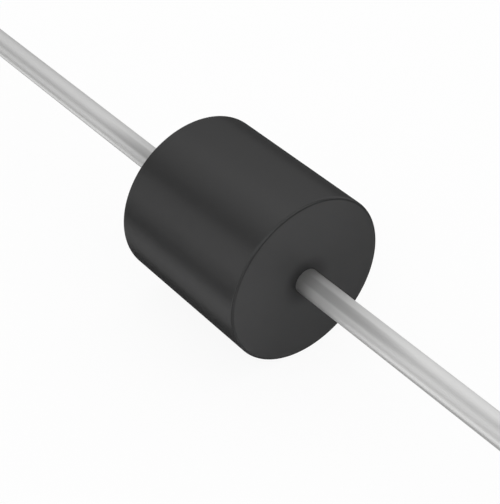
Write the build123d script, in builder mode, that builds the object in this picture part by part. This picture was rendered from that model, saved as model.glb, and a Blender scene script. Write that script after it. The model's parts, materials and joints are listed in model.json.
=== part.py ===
from build123d import *
from math import atan2, degrees
import os

# Bidirectional transient suppressor diode in a plain cylindrical moulding, the P600 (R-6) outline.
# Two silicon chips are soldered back to back between the nail heads of two wires, coated, and then
# moulded in epoxy. Millimetres. The leads run along X through the middle of the body, which is the
# origin, lead a points to +X, and +Z is up.

# Moulded body
body_diameter = 8.85
body_length = 8.85
body_edge_radius = 0.12

# Leads: tinned copper wire, upset into a nail head at the inner end
lead_diameter = 1.30
lead_length = 25.40
lead_cut_chamfer = 0.10
head_diameter = 3.60
head_thickness = 0.90
head_edge_chamfer = 0.12
neck_diameter = 1.60
neck_flare = 0.35

# Silicon chips: a sawn square base, and a mesa left standing where the moat was etched round it
chip_side = 4.40
chip_base_thickness = 0.18
mesa_height = 0.10
mesa_wall_angle = 40
mesa_corner_radius = 0.60
moat_width = 0.25

# Solder joints, whose rims are drawn in a little between the two faces that they wet
solder_thickness = 0.09
solder_setback = 0.15
solder_corner_radius = 0.40
meniscus_depth = 0.03

# Junction coating: a bead of silicone round the chips, which laps over both nail heads
coating_cover = 0.30
coating_rim_cover = 0.15
coating_lap = 0.15
coating_toe = 0.45

# Places along the lead axis, outwards from the middle, the same on both sides
chip_back = solder_thickness / 2
ledge = chip_back + chip_base_thickness
mesa_top = ledge + mesa_height
head_face = mesa_top + solder_thickness
head_back = head_face + head_thickness
end_face = body_length / 2
lead_end = end_face + lead_length

# Radii and widths that follow from the sizes above
lead_radius = lead_diameter / 2
head_radius = head_diameter / 2
neck_radius = neck_diameter / 2
mesa_side = chip_side - 2 * moat_width
middle_joint_side = chip_side - 2 * solder_setback
chip_corner_reach = chip_side / 2 * 2**0.5

# Lead a: the nail head, a neck that draws down from it to the wire's own size at the body's end face,
# and the straight wire outside, cut off square with its burr taken off
with BuildPart() as lead_a:
    with BuildSketch(Plane.XZ):
        with BuildLine():
            Polyline(
                (head_face, 0),
                (head_face, head_radius),
                (head_back, head_radius),
                (head_back, neck_radius),
                (end_face, lead_radius),
                (lead_end, lead_radius),
                (lead_end, 0),
                close=True,
            )
        make_face()
    revolve(axis=Axis.X)
    circles = lead_a.edges().filter_by(GeomType.CIRCLE).group_by(Axis.X)
    front_rim = circles[0]
    neck_root, back_rim = circles[1].sort_by(SortBy.RADIUS)
    cut_rim = circles[-1]
    chamfer(front_rim + [back_rim], head_edge_chamfer)
    chamfer(neck_root, neck_flare)
    chamfer(cut_rim, lead_cut_chamfer)

with BuildPart() as lead_b:
    mirror(lead_a.part, about=Plane.YZ)

# Chip a: its back to the middle, and its mesa, with sloping etched walls, towards lead a
with BuildPart() as chip_a:
    with BuildSketch(Plane.YZ.offset(chip_back)):
        Rectangle(chip_side, chip_side)
    extrude(amount=chip_base_thickness)
    with BuildSketch(Plane.YZ.offset(ledge)):
        RectangleRounded(mesa_side, mesa_side, mesa_corner_radius)
    extrude(amount=mesa_height, taper=mesa_wall_angle)

with BuildPart() as chip_b:
    mirror(chip_a.part, about=Plane.YZ)

# Solder between a nail head and its chip: it wets the head's face inside the chamfer, and the mesa out
# to the head's full width, and it is narrowest between them
with BuildPart() as solder_a:
    with BuildSketch(Plane.XZ):
        with BuildLine():
            on_chip = Vector(mesa_top, head_radius)
            on_head = Vector(head_face, head_radius - head_edge_chamfer)
            waist = (on_chip + on_head) / 2 - Vector(0, meniscus_depth)
            Polyline(on_chip, waist, on_head, (head_face, 0), (mesa_top, 0), close=True)
        make_face()
    revolve(axis=Axis.X)

with BuildPart() as solder_b:
    mirror(solder_a.part, about=Plane.YZ)

# Solder between the chips' backs: square as they are, set back from their sawn edges, and narrowest at
# mid thickness
with BuildPart() as solder_mid:
    with BuildSketch(Plane.YZ.offset(chip_back)):
        RectangleRounded(middle_joint_side, middle_joint_side, solder_corner_radius)
    extrude(amount=-chip_back, taper=degrees(atan2(meniscus_depth, chip_back)))
    mirror(about=Plane.YZ)

soldered_stack = [piece.part for piece in (lead_a, solder_a, chip_a, solder_mid, chip_b, solder_b, lead_b)]

# Junction coating: a round bead over the chips' corners. It wraps the rims of the heads and ends in a
# thin toe on their backs, and it fills every gap between the heads.
with BuildPart() as junction_coating:
    with BuildSketch(Plane.XZ):
        with BuildLine():
            shoulder = Vector(head_back + coating_lap, head_radius + coating_rim_cover)
            toe = Vector(head_back, head_radius - coating_toe)
            other_shoulder = Vector(-shoulder.X, shoulder.Y)
            other_toe = Vector(-toe.X, toe.Y)
            ThreePointArc(shoulder, (0, chip_corner_reach + coating_cover), other_shoulder)
            Polyline(other_shoulder, other_toe, toe, shoulder)
        make_face()
    revolve(axis=Axis.X)
    add(soldered_stack, mode=Mode.SUBTRACT)

# Moulded body: the compound flows round the coated stack, so the cavity is the stack itself
with BuildPart() as moulded_body:
    with BuildSketch(Plane.YZ):
        Circle(body_diameter / 2)
    extrude(amount=body_length / 2, both=True)
    fillet(moulded_body.edges().filter_by(GeomType.CIRCLE), body_edge_radius)
    add(soldered_stack + [junction_coating.part], mode=Mode.SUBTRACT)

pieces = {
    "moulded_body": moulded_body,
    "lead_a": lead_a,
    "lead_b": lead_b,
    "chip_a": chip_a,
    "chip_b": chip_b,
    "solder_a": solder_a,
    "solder_mid": solder_mid,
    "solder_b": solder_b,
    "junction_coating": junction_coating,
}
os.makedirs("parts", exist_ok=True)
for name, piece in pieces.items():
    piece.part.label = name
    export_step(piece.part, f"parts/{name}.step")
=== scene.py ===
import json
import math

import bpy
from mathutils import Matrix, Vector


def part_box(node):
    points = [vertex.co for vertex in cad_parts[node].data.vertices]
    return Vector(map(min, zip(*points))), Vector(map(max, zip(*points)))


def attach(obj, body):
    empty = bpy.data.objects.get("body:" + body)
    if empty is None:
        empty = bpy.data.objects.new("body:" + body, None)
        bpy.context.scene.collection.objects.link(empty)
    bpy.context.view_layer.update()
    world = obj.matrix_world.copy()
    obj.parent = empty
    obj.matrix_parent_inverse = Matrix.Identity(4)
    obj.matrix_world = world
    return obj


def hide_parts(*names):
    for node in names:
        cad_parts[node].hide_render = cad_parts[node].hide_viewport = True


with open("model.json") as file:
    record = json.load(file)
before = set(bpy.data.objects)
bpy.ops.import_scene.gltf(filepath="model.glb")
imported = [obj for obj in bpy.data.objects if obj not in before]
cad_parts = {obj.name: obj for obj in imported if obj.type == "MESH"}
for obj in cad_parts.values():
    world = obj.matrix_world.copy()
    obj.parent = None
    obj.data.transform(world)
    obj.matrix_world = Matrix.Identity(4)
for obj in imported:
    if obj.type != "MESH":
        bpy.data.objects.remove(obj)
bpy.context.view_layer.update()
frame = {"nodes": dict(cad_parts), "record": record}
MM = 0.001

# Silicon chips
# Two square chips, diffused, etched and sawn from a wafer. They are soldered back to back in the middle
# of the body, so that the pair blocks both ways, and their mesas face the two wires.


class Amount:
    """A value in a node tree, on which Python's operators add Math nodes."""

    def __init__(self, tree, socket):
        self.tree = tree
        self.socket = socket

    def maths(self, operation, *others):
        return self.tree.maths(operation, self, *others)

    def __add__(self, other):
        return self.maths("ADD", other)

    def __sub__(self, other):
        return self.maths("SUBTRACT", other)

    def __rsub__(self, other):
        return self.tree.maths("SUBTRACT", other, self)

    def __mul__(self, other):
        return self.maths("MULTIPLY", other)

    def __truediv__(self, other):
        return self.maths("DIVIDE", other)

    def __neg__(self):
        return self.maths("MULTIPLY", -1)

    __radd__ = __add__
    __rmul__ = __mul__


class Tree:
    """A node tree, to which one method adds each node with its settings and what goes into its sockets."""

    def __init__(self, node_tree):
        self.node_tree = node_tree

    def plug(self, socket, value):
        if isinstance(value, Amount):
            self.node_tree.links.new(value.socket, socket)
        else:
            socket.default_value = value

    def add(self, kind, settings=None, sockets=None, output=0):
        node = self.node_tree.nodes.new(kind)
        for name, value in (settings or {}).items():
            if name == "stops":
                self.set_stops(node.color_ramp.elements, value)
            elif name == "blend":
                node.color_ramp.interpolation = value
            else:
                setattr(node, name, value)
        for name, value in (sockets or {}).items():
            self.plug(node.inputs[name], value)
        return Amount(self, node.outputs[output])

    def maths(self, operation, *values):
        return self.add("ShaderNodeMath", {"operation": operation}, dict(enumerate(values)))

    def split(self, vector):
        """The three parts of a vector."""
        first = self.add("ShaderNodeSeparateXYZ", {}, {"Vector": vector})
        return [Amount(self, part) for part in first.socket.node.outputs]

    def slide(self, amount, start, stop, low=0.0, high=1.0):
        """Goes smoothly from low to high while an amount goes from start to stop."""
        ends = {"Value": amount, "From Min": start, "From Max": stop, "To Min": low, "To Max": high}
        return self.add("ShaderNodeMapRange", {"interpolation_type": "SMOOTHSTEP"}, ends)

    @staticmethod
    def set_stops(elements, stops):
        """A ramp's stops, each a position with a grey or a colour."""
        for place, (position, shade) in enumerate(stops):
            stop = elements[place] if place < len(elements) else elements.new(position)
            stop.position = position
            stop.color = (*shade, 1) if isinstance(shade, tuple) else (shade, shade, shade, 1)


class Finish(Tree):
    """A material: one Principled shader, with its even values on its own sockets."""

    def __init__(self, name, **even):
        self.material = bpy.data.materials.new(name)
        self.material.use_nodes = True
        super().__init__(self.material.node_tree)
        self.shader = self.node_tree.nodes["Principled BSDF"]
        for socket, value in even.items():
            self.vary(socket, value)
        self.place = self.add("ShaderNodeTexCoord", output="Object")

    def vary(self, socket, value):
        self.plug(self.shader.inputs[socket.replace("_", " ")], value)

    def noise(self, grain, detail=2, stretch=(1, 1, 1)):
        """Noise whose lumps are grain wide, in metres, and stretched by that much along each axis."""
        scale = tuple(1 / (grain * s) for s in stretch)
        at = self.add("ShaderNodeMapping", {"vector_type": "POINT"}, {"Vector": self.place, "Scale": scale})
        return self.add("ShaderNodeTexNoise", {}, {"Vector": at, "Scale": 1.0, "Detail": detail})

    def between(self, amount, low, high):
        """A colour between two, by an amount."""
        low, high = (end if isinstance(end, Amount) else (*end, 1) for end in (low, high))
        return self.add("ShaderNodeMix", {"data_type": "RGBA"}, {0: amount, 6: low, 7: high}, output=2)

    def roughen(self, height, depth, strength=1.0):
        """Relief on the surface: height from 0 to 1 stands for that depth in metres."""
        sockets = {"Height": height, "Distance": depth, "Strength": strength}
        relief = self.add("ShaderNodeBump", {}, sockets, output="Normal")
        self.vary("Normal", relief)
        return relief


def dress(piece, finish):
    """Gives a piece its finish in every slot that it has."""
    if not piece.data.materials:
        piece.data.materials.append(finish.material)
    for place in range(len(piece.material_slots)):
        piece.material_slots[place].material = finish.material


silicon = Finish("etched_silicon", Metallic=0.55)
lapping = silicon.noise(0.03 * MM, detail=4)
wafer_tone = silicon.noise(0.6 * MM)
silicon.vary("Base Color", silicon.between(wafer_tone, (0.095, 0.100, 0.115), (0.150, 0.155, 0.170)))
silicon.vary("Roughness", 0.30 + lapping * 0.18)
silicon.roughen(lapping, 0.001 * MM)
for chip in ("chip_a", "chip_b"):
    dress(frame["nodes"][chip], silicon)

# Leads
# Soft copper wire whose inner end is upset into a nail head, to spread the current over the chip and to
# hold the wire in. It is tinned after moulding and cut square. The tin is bright outwards and duller,
# rougher and less metallic near the body, where its colour is also darkened as painted shade, darkest at
# the root, with a painted shade streak along one flank.
WIRE_SIDES = 128
HEAD_THICKNESS = 0.90 * MM
HEAD_CHAMFER = 0.12 * MM
NECK_RADIUS = 0.80 * MM
NECK_FLARE = 0.35 * MM
CUT_CHAMFER = 0.10 * MM
HOLDING_EDGE = 0.02 * MM  # a narrow ring of faces that keeps the shading flat beside a rounded edge
CREASE = math.radians(25)
MERGED_WITHIN = 0.0001 * MM
BRIGHT_TIN = ((0.605, 0.604, 0.600), (0.645, 0.644, 0.640))
# painted shade: the darker tin colours near the body and at its root stand in for the shade that the body
# casts
SHADED_TIN = (0.455, 0.454, 0.452)
ROOT_SHADE_TIN = (0.178, 0.177, 0.175)
BRIGHT_METALLIC = 0.86
DULL_METALLIC = 0.30
DULL_ROUGHER = 0.05
DULL_FROM = 0.5 * MM
DULL_TO = 8.5 * MM
ROOT_SHADE_TO = 1.5 * MM
# painted shade: the streak is a darker stripe along one flank of each wire near the body
STREAK_TURN = math.radians(30)
STREAK_EDGES = (0.90, 0.97)
STREAK_DARKER = 0.42
STREAK_FROM = 3 * MM
STREAK_TO = 9 * MM

wire_radius = next(m["dims"]["r_mm"] for m in frame["record"]["mounts"] if m["name"] == "lead_a") * MM
body_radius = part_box("moulded_body")[1][2]
end_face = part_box("moulded_body")[1][0]
head_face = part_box("lead_a")[0][0]
lead_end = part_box("lead_a")[1][0]
head_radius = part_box("lead_a")[1][2]
head_back = head_face + HEAD_THICKNESS


def turning_tree():
    """Turns a profile round the X axis: the profile's points lie in the XZ half-plane, in order, and the
    first one is repeated at the end where the profile is closed."""
    group = bpy.data.node_groups.new("turned_from_profile", "GeometryNodeTree")
    group.interface.new_socket("Profile", in_out="INPUT", socket_type="NodeSocketGeometry")
    for name, kind in (("Sides", "Int"), ("Crease", "Float"), ("Finish", "Material")):
        group.interface.new_socket(name, in_out="INPUT", socket_type="NodeSocket" + kind)
    group.interface.new_socket("Piece", in_out="OUTPUT", socket_type="NodeSocketGeometry")
    tree = Tree(group)
    given = group.nodes.new("NodeGroupInput")
    profile, sides, crease, finish = (Amount(tree, given.outputs[n]) for n in range(4))
    count = tree.add(
        "GeometryNodeAttributeDomainSize",
        {"component": "MESH"},
        {"Geometry": profile},
        "Point Count",
    )
    net = tree.add("GeometryNodeMeshGrid", {}, {"Vertices X": sides + 1, "Vertices Y": count}, "Mesh")
    index = tree.add("GeometryNodeInputIndex")
    column = ((index + 0.5) / count).maths("FLOOR")
    step = index - column * count
    spot = tree.add(
        "GeometryNodeSampleIndex",
        {"data_type": "FLOAT_VECTOR", "domain": "POINT"},
        {"Geometry": profile, "Value": tree.add("GeometryNodeInputPosition"), "Index": step},
    )
    along, _, out = tree.split(spot)
    turn = column * (-2 * math.pi) / sides
    ring = {"X": along, "Y": out * turn.maths("SINE"), "Z": out * turn.maths("COSINE")}
    place = tree.add("ShaderNodeCombineXYZ", {}, ring)
    turned = tree.add("GeometryNodeSetPosition", {}, {"Geometry": net, "Position": place})
    closed = tree.add("GeometryNodeMergeByDistance", {}, {"Geometry": turned, "Distance": MERGED_WITHIN})
    everywhere = {"Geometry": closed, "Shade Smooth": True}
    smooth = tree.add("GeometryNodeSetShadeSmooth", {"domain": "FACE"}, everywhere)
    angle = tree.add("GeometryNodeInputMeshEdgeAngle", output="Unsigned Angle")
    sharp = {"Geometry": smooth, "Selection": angle.maths("GREATER_THAN", crease), "Shade Smooth": False}
    creased = tree.add("GeometryNodeSetShadeSmooth", {"domain": "EDGE"}, sharp)
    whole = tree.add("GeometryNodeRealizeInstances", {}, {"Geometry": creased})
    dressed = tree.add("GeometryNodeSetMaterial", {}, {"Geometry": whole, "Material": finish})
    tree.plug(group.nodes.new("NodeGroupOutput").inputs["Piece"], dressed)
    return group


turning = turning_tree()


def turned_piece(name, profile, sides, finish, node):
    """A plain mesh turned from (x, radius) points, which stands for a CAD node."""
    outline = bpy.data.meshes.new(name + "_profile")
    outline.from_pydata([(x, 0, r) for x, r in profile], [(n, n + 1) for n in range(len(profile) - 1)], [])
    blank = bpy.data.objects.new(name + "_blank", outline)
    bpy.context.scene.collection.objects.link(blank)
    turner = blank.modifiers.new("turned", "NODES")
    turner.node_group = turning
    wanted = {"Sides": sides, "Crease": CREASE, "Finish": finish.material}
    for item in turning.interface.items_tree:
        if item.name in wanted:
            turner[item.identifier] = wanted[item.name]
    shape = bpy.data.meshes.new_from_object(blank.evaluated_get(bpy.context.evaluated_depsgraph_get()))
    bpy.data.objects.remove(blank)
    shape.name = name
    piece = bpy.data.objects.new(name, shape)
    bpy.context.scene.collection.objects.link(piece)
    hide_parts(node)
    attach(piece, "root")
    return piece


def neck_radius_at(x):
    """The neck draws down evenly from the nail head's back to the end face."""
    return NECK_RADIUS + (wire_radius - NECK_RADIUS) * (x - head_back) / (end_face - head_back)


flare_foot = head_back + NECK_FLARE
wire_profile = [
    (head_face, 0),
    (head_face, head_radius - HEAD_CHAMFER),
    (head_face + HEAD_CHAMFER, head_radius),
    (head_back - HEAD_CHAMFER, head_radius),
    (head_back, head_radius - HEAD_CHAMFER),
    (head_back, NECK_RADIUS + NECK_FLARE),
    (flare_foot, neck_radius_at(flare_foot)),
    (end_face, wire_radius),
    (end_face + HOLDING_EDGE, wire_radius),
    (lead_end - CUT_CHAMFER, wire_radius),
    (lead_end, wire_radius - CUT_CHAMFER),
    (lead_end, 0),
]

tin = Finish("tinned_wire")
drawing_lines = tin.noise(0.035 * MM, detail=3, stretch=(120, 1, 1))
plating = tin.noise(0.25 * MM, detail=3, stretch=(3, 1, 1))
tin_grain = tin.noise(0.03 * MM, detail=2, stretch=(2, 1, 1))
along_wire, across_wire, up_wire = tin.split(tin.place)
from_body = along_wire.maths("ABSOLUTE") - end_face
# painted shade: towards the body the tin's colour darkens, and more so within 1.5 mm of the end face; the
# dulling also makes it rougher and less metallic
dull = tin.slide(from_body, DULL_FROM, DULL_TO, 1, 0)
painted_root_shade = tin.slide(from_body, 0, ROOT_SHADE_TO, 1, 0)
# painted shade: a darker stripe along one flank, fading out from 3 to 9 mm from the body
towards_streak = up_wire * math.cos(STREAK_TURN) - across_wire * math.sin(STREAK_TURN)
in_streak = tin.slide(towards_streak / wire_radius, *STREAK_EDGES)
painted_streak_shade = in_streak * tin.slide(from_body, STREAK_FROM, STREAK_TO, 1, 0) * STREAK_DARKER
tin_with_painted_shade = tin.between(dull, tin.between(plating, *BRIGHT_TIN), SHADED_TIN)
tin.vary("Base Color", tin.between(painted_root_shade, tin.between(painted_streak_shade, tin_with_painted_shade, ROOT_SHADE_TIN), ROOT_SHADE_TIN))
tin.vary("Metallic", BRIGHT_METALLIC - dull * (BRIGHT_METALLIC - DULL_METALLIC))
tin.vary("Roughness", 0.31 + drawing_lines * 0.08 + plating * 0.04 + dull * DULL_ROUGHER)
tin.roughen(drawing_lines * 0.7 + tin_grain * 0.3, 0.0016 * MM)

for lead, side in (("lead_a", 1), ("lead_b", -1)):
    profile = [(side * x, r) for x, r in wire_profile[:: side]]
    turned_piece(lead + "_wire", profile, WIRE_SIDES, tin, lead)

# Solder joints
# Thin discs of high-lead solder, melted between the heads and the chips and between the chips' backs.
# They are dull and grainy where they froze.
solder = Finish("frozen_solder", Metallic=1.0)
grains = solder.add(
    "ShaderNodeTexVoronoi",
    {"feature": "F1"},
    {"Vector": solder.place, "Scale": 1 / (0.12 * MM)},
    "Distance",
)
frosting = solder.noise(0.02 * MM, detail=3)
solder.vary("Base Color", solder.between(grains, (0.50, 0.50, 0.49), (0.36, 0.36, 0.355)))
solder.vary("Roughness", 0.38 + frosting * 0.22)
solder.roughen(grains * 0.6 + frosting * 0.4, 0.003 * MM)
for joint in ("solder_a", "solder_mid", "solder_b"):
    dress(frame["nodes"][joint], solder)

# Junction coating
# Silicone, run round the chips' edges as a thick liquid and cured, to keep the compound off the bare
# junctions. It is off-white and slightly cloudy.
silicone = Finish("junction_silicone", IOR=1.41)
cloud = silicone.noise(0.8 * MM, detail=3)
skin = silicone.noise(0.08 * MM)
silicone.vary("Base Color", silicone.between(cloud, (0.72, 0.70, 0.64), (0.82, 0.80, 0.75)))
silicone.vary("Roughness", 0.32 + skin * 0.12)
silicone.roughen(skin, 0.002 * MM)
dress(frame["nodes"]["junction_coating"], silicone)

# Moulded body
# Epoxy filled with ground silica, transfer-moulded round the coated stack, which is the shape of its
# cavity. It has an even satin, with just rounded rims that carry a painted dark line of shade, strongest on
# top. The end faces are matter, with painted light making them paler towards the top and the -Y side and
# darker opposite, and painted shade darkening them round each wire.
BODY_SIDES = 256
RIM_RADIUS = 0.12 * MM
RIM_STEPS = 10
COATING_TOE = 0.45 * MM
COATING_RIM_COVER = 0.15 * MM
COATING_LAP = 0.15 * MM
BELLY_STEPS = 24

belly_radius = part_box("junction_coating")[1][2]


def rim_arc(centre_x, centre_r, radius, start, sweep, steps):
    """Points on a circle in the profile, from start through sweep, in radians from +X towards the outside."""
    turns = [start + sweep * n / steps for n in range(steps + 1)]
    return [(centre_x + radius * math.cos(t), centre_r + radius * math.sin(t)) for t in turns]


def body_half_profile():
    """Half of the body's section, from the middle of its outside round to the middle of its cavity."""
    flat, wall = end_face - RIM_RADIUS, body_radius - RIM_RADIUS
    rim = rim_arc(flat, wall, RIM_RADIUS, math.pi / 2, -math.pi / 2, RIM_STEPS)
    shoulder = (head_back + COATING_LAP, head_radius + COATING_RIM_COVER)
    rise = belly_radius - shoulder[1]
    bead = (shoulder[0] ** 2 + rise**2) / (2 * rise)
    bead_centre = belly_radius - bead
    lean = math.atan2(shoulder[1] - bead_centre, shoulder[0])
    belly = rim_arc(0, bead_centre, bead, lean, math.pi / 2 - lean, BELLY_STEPS // 2)
    inside = [
        (end_face, wire_radius),
        (flare_foot, neck_radius_at(flare_foot)),
        (head_back, NECK_RADIUS + NECK_FLARE),
        (head_back, head_radius - COATING_TOE),
    ]
    outside = [(0, body_radius), (flat - HOLDING_EDGE, body_radius)]
    return outside + rim + [(end_face, wall - HOLDING_EDGE)] + inside + belly


half = body_half_profile()
body_profile = half + [(-x, r) for x, r in reversed(half[1:-1])] + [half[0]]

EPOXY_GREYS = ((0.0389, 0.0389, 0.0392), (0.0756, 0.0756, 0.0760))
# painted shade: the grey that the rims and the end faces round each wire are darkened towards
PAINTED_SHADE_GREY = (0.0289, 0.0289, 0.0291)
SATIN_GREY = (0.0525, 0.0525, 0.0528, 1)
SATIN_SHARE = 0.62
END_SATIN_SHARE = 0.30
END_ROUGHER = 0.30
# painted light: how much paler and darker the end faces are made across their width
END_LIGHT_SPREAD = 0.30
# painted shade round each wire on the end faces: its width, and how much darker and less glossy it is
WIRE_SHADE_WIDTH = 0.9 * MM
WIRE_SHADE_DARKER = 0.85
WIRE_SHADE_DULLER = 0.05
# painted shade along the rims: how much darker and less glossy, and its share on the lower side
RIM_SHADE_DARKER = 0.9
RIM_SHADE_DULLER = 0.30
LOWER_RIM_SHADE_SHARE = 0.55

epoxy = Finish("moulded_epoxy", Specular_IOR_Level=0.0)
filler = epoxy.noise(0.035 * MM, detail=2)
mould_satin = epoxy.noise(0.012 * MM, detail=2)
flow = epoxy.noise(2.5 * MM, detail=2)
along_body, across, up = epoxy.split(epoxy.place)
from_end = end_face - along_body.maths("ABSOLUTE")
from_axis = (across * across + up * up).maths("SQRT")
from_side = body_radius - from_axis
on_end = epoxy.slide(from_end, RIM_RADIUS * 0.3, RIM_RADIUS * 0.05)
# painted shade: a dark line along the rims, weaker towards the bottom
rim_outside = epoxy.slide(from_side, RIM_RADIUS * 0.25, RIM_RADIUS * 0.55)
rim_inside = epoxy.slide(from_side, RIM_RADIUS * 1.3, RIM_RADIUS)
painted_rim_shade = rim_outside * rim_inside * epoxy.slide(up, 0, body_radius * 0.8, LOWER_RIM_SHADE_SHARE, 1)
# painted shade: the end faces darken within 0.9 mm of each wire
painted_wire_shade = epoxy.slide(from_axis, wire_radius, wire_radius + WIRE_SHADE_WIDTH, 1, 0) * on_end
# painted light: the end faces are paler towards the top and the -Y side and darker opposite
towards_lit_corner = (up - across) * 0.5**0.5
painted_end_light = epoxy.slide(towards_lit_corner, -body_radius, body_radius, -END_LIGHT_SPREAD, END_LIGHT_SPREAD) * on_end
moulded = epoxy.between(0.33 + (filler + flow) * 0.17 + painted_end_light, *EPOXY_GREYS)
# painted shade: the rims and the end faces round the wires darken
painted_shade = painted_wire_shade * WIRE_SHADE_DARKER + painted_rim_shade * RIM_SHADE_DARKER
epoxy.vary("Base Color", epoxy.between(painted_shade, moulded, PAINTED_SHADE_GREY))
sheen = 0.18 + filler * 0.05 + flow * 0.02 + on_end * END_ROUGHER
epoxy.vary("Roughness", sheen)
relief = epoxy.roughen(mould_satin * 0.6 + filler * 0.4, 0.0006 * MM)
satin_look = {"Color": SATIN_GREY, "Roughness": sheen, "Normal": relief}
satin = epoxy.add("ShaderNodeBsdfAnisotropic", {}, satin_look)
matt = Amount(epoxy, epoxy.shader.outputs["BSDF"])
# the end faces are matter; the painted shade round the wires and along the rims also takes gloss away
duller_and_shaded = on_end * (SATIN_SHARE - END_SATIN_SHARE) + painted_wire_shade * WIRE_SHADE_DULLER + painted_rim_shade * RIM_SHADE_DULLER
skin = epoxy.add("ShaderNodeMixShader", {}, {0: SATIN_SHARE - duller_and_shaded, 1: matt, 2: satin})
epoxy.plug(epoxy.node_tree.nodes["Material Output"].inputs["Surface"], skin)
turned_piece("body_moulding", body_profile, BODY_SIDES, epoxy, "moulded_body")

# Studio
# A pale table under the diode and a plain white background all round. Between them and the diode hangs a
# tent, whose panels shade or brighten the background and show as bands in the gloss. The camera, which
# looks down on the end face of lead a, doesn't see the tent.
TABLE_SIZE = 6000 * MM
TABLE_GLOW = 0.92
TENT_RADIUS = 2500 * MM
SHOWN_TO = ("Is Camera Ray", "Is Glossy Ray", "Is Transmission Ray")
CAMERA_FROM_BODY = Vector((43.364, -33.854, 42.189)) * MM
CAMERA_AZIMUTH = math.radians(51.947)
CAMERA_ELEVATION = math.radians(38.145)
CAMERA_LENS = 101.006

bpy.ops.mesh.primitive_plane_add(size=TABLE_SIZE, location=(0, 0, -body_radius))
table = bpy.context.object
table.name = "table"
table.visible_glossy = False
pale = bpy.data.materials.new("pale_table")
pale.use_nodes = True
cloth = Tree(pale.node_tree)
seen = sum(cloth.add("ShaderNodeLightPath", output=ray) for ray in SHOWN_TO)
cloth_matt = cloth.add("ShaderNodeBsdfDiffuse", {}, {"Color": (0.90, 0.90, 0.90, 1)})
white = cloth.add("ShaderNodeEmission", {}, {"Color": (1, 1, 1, 1), "Strength": 1.0})
shown = cloth.add("ShaderNodeMixShader", {}, {0: seen * TABLE_GLOW, 1: cloth_matt, 2: white})
cloth.plug(pale.node_tree.nodes["Material Output"].inputs["Surface"], shown)
table.data.materials.append(pale)

# How bright the tent is, by the angle in degrees round the leads: 0 is overhead, and positive is towards
# the front. The panels slant along the leads, and the slant is none where the side of the body mirrors them.
TENT_PANELS = (
    (-180, 0.30),
    (-165, 0.46),
    (-130, 0.72),
    (-98, 0.49),
    (-80, 1.02),
    (-38, 1.10),
    (-8, 1.30),
    (10, 1.08),
    (44, 0.40),
    (58, 1.06),
    (85, 1.20),
    (100, 0.83),
    (115, 0.39),
    (121, 0.60),
    (131, 1.22),
    (142, 1.48),
    (158, 1.28),
    (172, 0.42),
    (180, 0.30),
)
# The same along the leads, by the sideways part of the direction: 1 is straight out along lead a
TENT_SIDES = ((-0.82, 0.64), (-0.62, 1.0), (0.30, 1.0), (0.60, 1.20), (0.85, 1.25))
FULL_SHADE = 1.5
SLANT = 90 / 360
MIRRORED_BY_BODY = 0.62

world = bpy.data.worlds.new("white_background")
bpy.context.scene.world = world
world.use_nodes = True
background = world.node_tree.nodes["Background"]
background.inputs["Color"].default_value = (1, 1, 1, 1)
background.inputs["Strength"].default_value = 1.0

bpy.ops.mesh.primitive_uv_sphere_add(segments=128, ring_count=64, radius=TENT_RADIUS)
tent_walls = bpy.context.object
tent_walls.name = "tent"
tent_walls.visible_camera = False
gauze = bpy.data.materials.new("tent_gauze")
gauze.use_nodes = True
tent = Tree(gauze.node_tree)


def panels(levels, place_of, place):
    """The tent's brightness from a list of levels, each at its own place from 0 to 1."""
    stops = [(place_of(at), level / FULL_SHADE) for at, level in levels]
    return tent.add("ShaderNodeValToRGB", {"stops": stops, "blend": "EASE"}, {"Fac": place}) * FULL_SHADE


sideways, forwards, upwards = tent.split(tent.add("ShaderNodeTexCoord", output="Object"))
along_leads = sideways / TENT_RADIUS
round_leads = (-forwards).maths("ARCTAN2", upwards) / (2 * math.pi) + 0.5
slanted = (round_leads + (along_leads + MIRRORED_BY_BODY) * SLANT).maths("FRACT")
bands = panels(TENT_PANELS, lambda angle: angle / 360 + 0.5, slanted)
glow = bands * panels(TENT_SIDES, lambda part: part / 2 + 0.5, along_leads / 2 + 0.5)
let_through = glow.maths("MINIMUM", 1)
shading = tent.add("ShaderNodeBsdfTransparent", {}, {"Color": let_through})
lamps = tent.add("ShaderNodeEmission", {}, {"Color": (1, 1, 1, 1), "Strength": glow - let_through})
walls = tent.add("ShaderNodeAddShader", {}, {0: shading, 1: lamps})
tent.plug(gauze.node_tree.nodes["Material Output"].inputs["Surface"], walls)
tent_walls.data.materials.append(gauze)

camera = bpy.data.objects.new("camera", bpy.data.cameras.new("camera"))
bpy.context.scene.collection.objects.link(camera)
bpy.context.scene.camera = camera
towards_camera = Vector((
    math.sin(CAMERA_AZIMUTH) * math.cos(CAMERA_ELEVATION),
    -math.cos(CAMERA_AZIMUTH) * math.cos(CAMERA_ELEVATION),
    math.sin(CAMERA_ELEVATION),
))
camera.location = CAMERA_FROM_BODY
camera.rotation_mode = "QUATERNION"
camera.rotation_quaternion = (-towards_camera).to_track_quat("-Z", "Y")
camera.data.lens = CAMERA_LENS
camera.data.sensor_width = 36
camera.data.clip_start = 5 * MM
camera.data.clip_end = 20
bpy.context.scene.view_settings.view_transform = "Standard"
